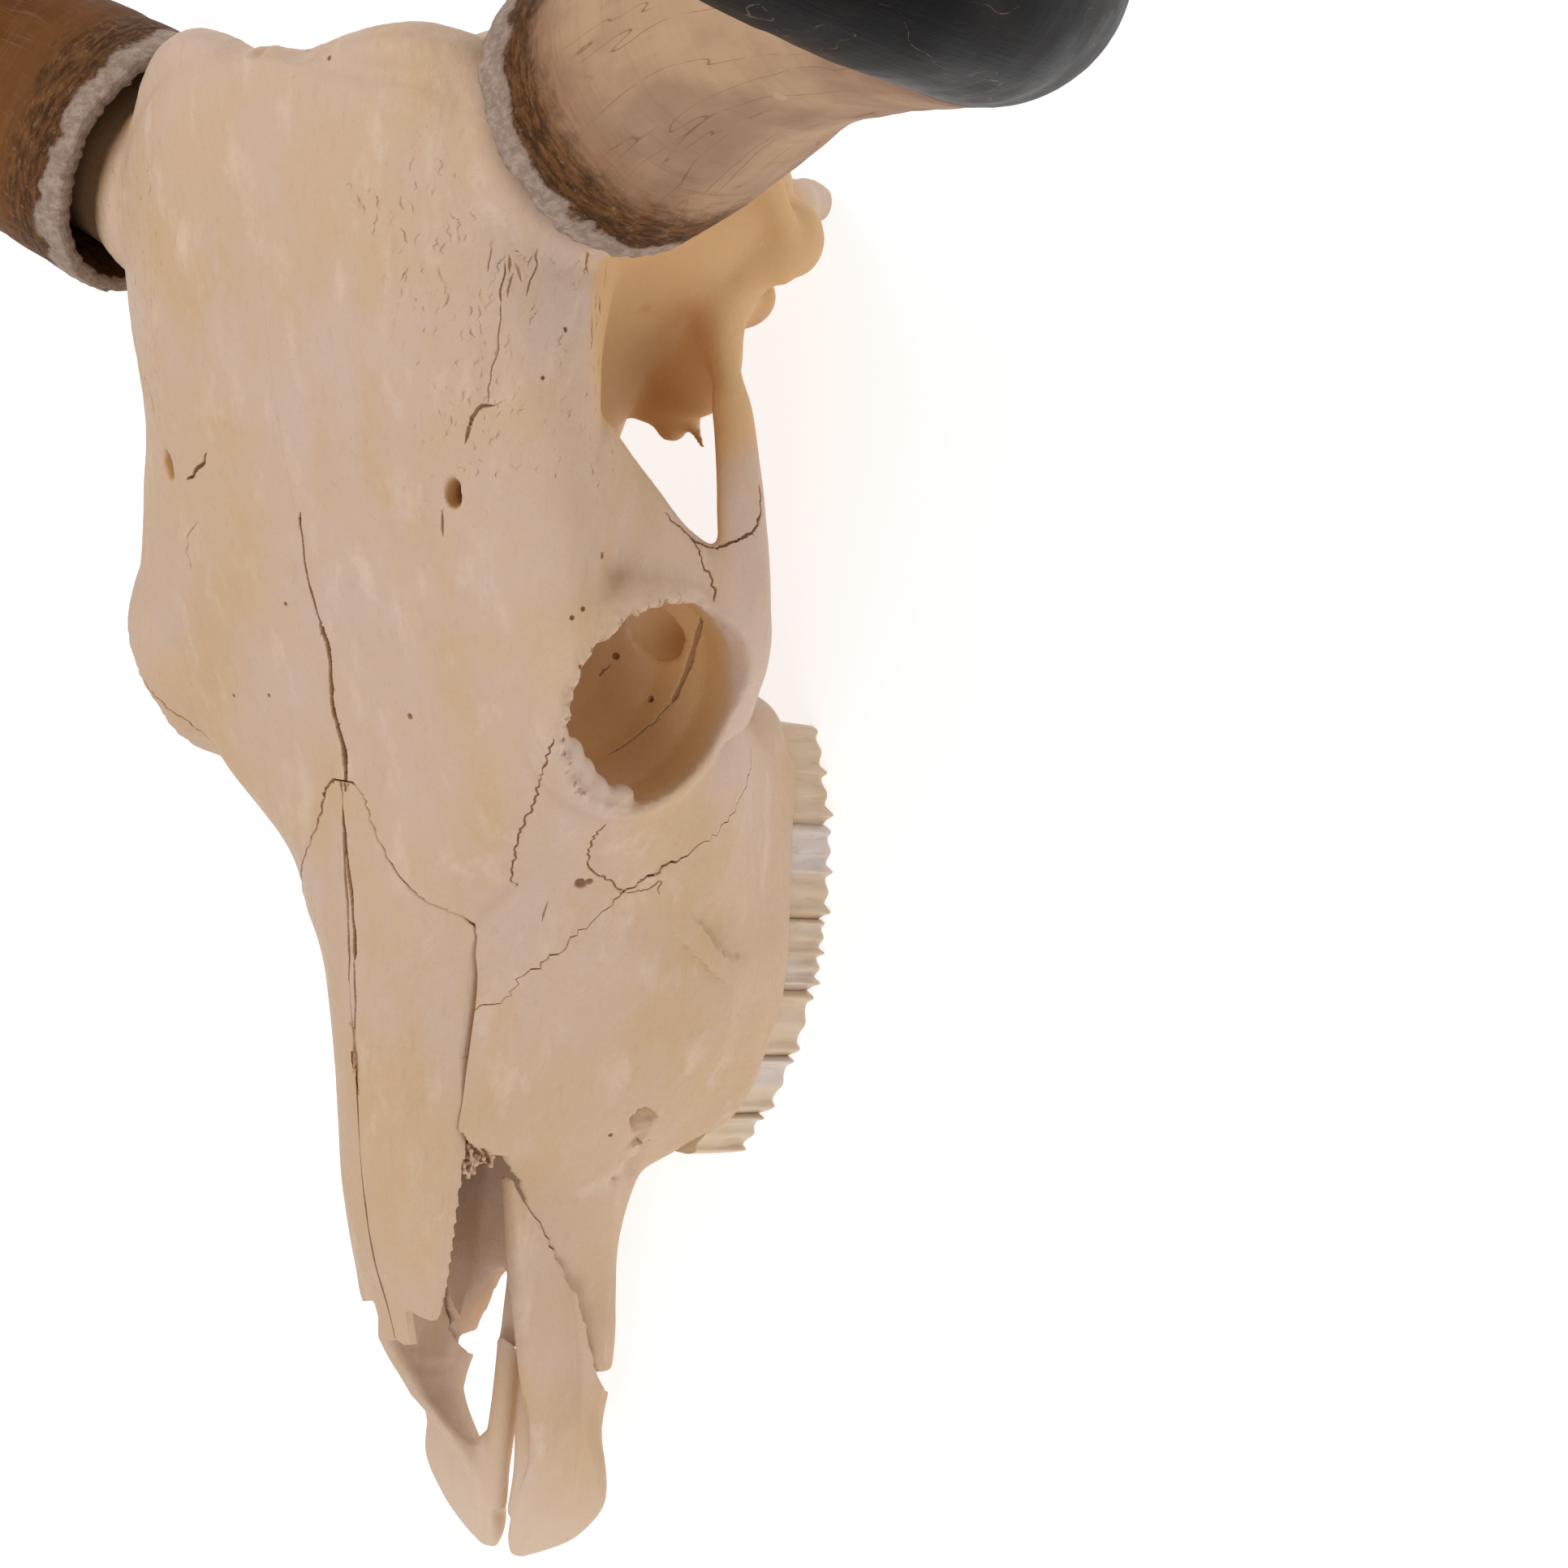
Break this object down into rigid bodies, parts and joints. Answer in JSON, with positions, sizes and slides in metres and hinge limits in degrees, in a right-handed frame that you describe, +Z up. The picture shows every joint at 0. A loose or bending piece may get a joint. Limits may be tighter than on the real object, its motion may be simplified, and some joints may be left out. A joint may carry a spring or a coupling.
{
  "type": "longhorn cattle skull",
  "caption": "Life-size longhorn cattle skull without lower jaw, lying on its cheek teeth, with upswept hollow-based horn sheaths on bone cores.",
  "frame": {"origin": "middle of the footprint of the resting skull with its horns, on the surface it lies on", "axes": "+X to the animal's left, +Y from the muzzle to the back of the head, +Z up"},
  "size_m": [0.7534, 0.5428, 0.6533],
  "materials": {
    "bone": "dry cleaned bone, satin to matt, cream with faint pink and yellow tints",
    "horn": "horn sheath, rough brown and cream at the base, polished black towards the tip"
  },
  "bodies": {
    "root": {"cranium": "bone", "upper_jaw_left": "bone", "upper_jaw_right": "bone", "nasal_left": "bone", "nasal_right": "bone", "incisive_left": "bone", "incisive_right": "bone", "horn_left": "horn", "horn_right": "horn"}
  },
  "joints": []
}
